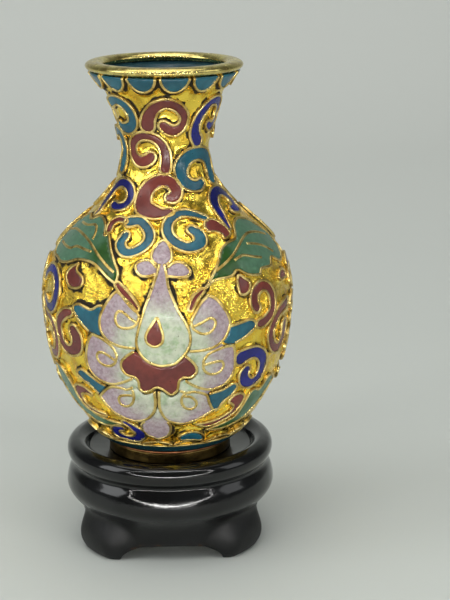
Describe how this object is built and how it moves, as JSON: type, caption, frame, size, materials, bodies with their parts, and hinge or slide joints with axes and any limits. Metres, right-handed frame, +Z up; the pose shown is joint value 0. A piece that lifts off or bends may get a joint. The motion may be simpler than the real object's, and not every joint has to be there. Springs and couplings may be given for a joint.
{
  "type": "vase",
  "caption": "Small pear-bodied cloisonne vase with a flared neck and a rolled gilt lip, resting in the recess of a round four-footed black lacquered stand.",
  "frame": {"origin": "bottom centre of the stand, on the surface that it stands on", "axes": "+Z up along the vase's axis; the lotus on the vase's front faces -Y"},
  "size_m": [0.04, 0.04, 0.078],
  "materials": {
    "black_lacquer": "glossy black lacquer on turned wood",
    "gilt_copper": "gilded copper, polished over fine tooling",
    "copper": "dull copper",
    "rim_brass": "toned brass, worn bright",
    "solder": "coppery solder line",
    "gilt_wire": "polished gilt wire",
    "lining_enamel": "dark teal counter-enamel",
    "maroon_enamel": "opaque polished enamel",
    "cobalt_enamel": "opaque polished enamel",
    "green_enamel": "shaded green polished enamel",
    "celadon_enamel": "speckled mauve and celadon polished enamel",
    "teal_enamel": "opaque polished enamel"
  },
  "bodies": {
    "stand": {"stand": "black_lacquer"},
    "vase": {"base_disc": "copper", "base_enamel": "lining_enamel", "border_enamel": "teal_enamel", "border_wires": "gilt_wire", "bud_enamel": "celadon_enamel", "bud_wires": "gilt_wire", "bulb_enamel": "celadon_enamel", "bulb_wires": "gilt_wire", "comma_enamel": "maroon_enamel", "comma_wires": "gilt_wire", "copper_body": "gilt_copper", "finger_enamel": "teal_enamel", "finger_wires": "gilt_wire", "foot_ring": "rim_brass", "foot_seam": "solder", "heart_enamel": "maroon_enamel", "heart_wires": "gilt_wire", "inner_enamel": "lining_enamel", "lappet_enamel": "teal_enamel", "lappet_wires": "gilt_wire", "leaf_enamel": "green_enamel", "leaf_veins": "gilt_wire", "leaf_wires": "gilt_wire", "low_cobalt": "cobalt_enamel", "low_leaf_enamel": "green_enamel", "low_leaf_wires": "gilt_wire", "low_maroon": "maroon_enamel", "low_teal": "teal_enamel", "low_wires": "gilt_wire", "mouth_rim": "rim_brass", "neck_cobalt": "cobalt_enamel", "neck_maroon": "maroon_enamel", "neck_teal": "teal_enamel", "neck_wires": "gilt_wire", "petal_curls": "gilt_wire", "petal_enamel": "celadon_enamel", "petal_wires": "gilt_wire", "shoulder_cobalt": "cobalt_enamel", "shoulder_maroon": "maroon_enamel", "shoulder_teal": "teal_enamel", "shoulder_wires": "gilt_wire", "side_cobalt": "cobalt_enamel", "side_maroon": "maroon_enamel", "side_teal": "teal_enamel", "side_wires": "gilt_wire", "teardrop_enamel": "maroon_enamel", "teardrop_wires": "gilt_wire"}
  },
  "joints": [
    {"name": "vase_lift", "type": "slide", "parent": "stand", "child": "vase", "axis": [0, 0, 1], "range_m": [0, 0.03]}
  ]
}
